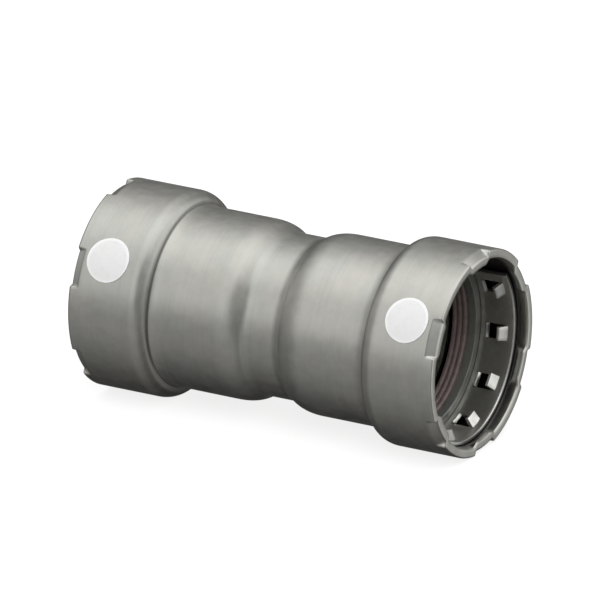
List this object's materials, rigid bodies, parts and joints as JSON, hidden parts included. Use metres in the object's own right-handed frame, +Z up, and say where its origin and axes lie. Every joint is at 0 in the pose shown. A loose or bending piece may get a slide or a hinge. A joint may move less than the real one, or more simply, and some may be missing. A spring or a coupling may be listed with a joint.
{
  "type": "press pipe coupling",
  "caption": "Straight press-fit pipe coupling with a necked tube body and collared ends, each collar holding a rubber seal, a separator ring and a toothed grip ring.",
  "frame": {"origin": "on the pipe axis, halfway between the two rim faces", "axes": "+X along the pipe axis towards the right-hand mouth, +Z up, with the coupling lying on its two collars"},
  "size_m": [0.1094, 0.056, 0.056],
  "materials": {
    "plated_steel": "satin zinc-nickel plating, faintly mottled",
    "separator_steel": "dull grey steel",
    "grip_steel": "stamped stainless spring steel",
    "seal_rubber": "moulded dark red rubber, lightly greased",
    "marker_film": "white satin adhesive film"
  },
  "bodies": {
    "housing": {"body": "plated_steel", "right_seal": "seal_rubber", "left_seal": "seal_rubber", "right_marker_dot": "marker_film", "left_marker_dot": "marker_film"},
    "right_grip": {"right_grip_ring": "grip_steel"},
    "left_grip": {"left_grip_ring": "grip_steel"},
    "right_separator": {"right_separator_ring": "separator_steel"},
    "left_separator": {"left_separator_ring": "separator_steel"}
  },
  "joints": [
    {"name": "right_grip_turn", "type": "hinge", "parent": "housing", "child": "right_grip", "pos_m": [0.0464, 0, 0], "axis": [1, 0, 0], "continuous": true},
    {"name": "left_grip_turn", "type": "hinge", "parent": "housing", "child": "left_grip", "pos_m": [-0.0464, 0, 0], "axis": [1, 0, 0], "continuous": true},
    {"name": "right_separator_turn", "type": "hinge", "parent": "housing", "child": "right_separator", "pos_m": [0.04, 0, 0], "axis": [1, 0, 0], "continuous": true},
    {"name": "left_separator_turn", "type": "hinge", "parent": "housing", "child": "left_separator", "pos_m": [-0.04, 0, 0], "axis": [1, 0, 0], "continuous": true}
  ]
}
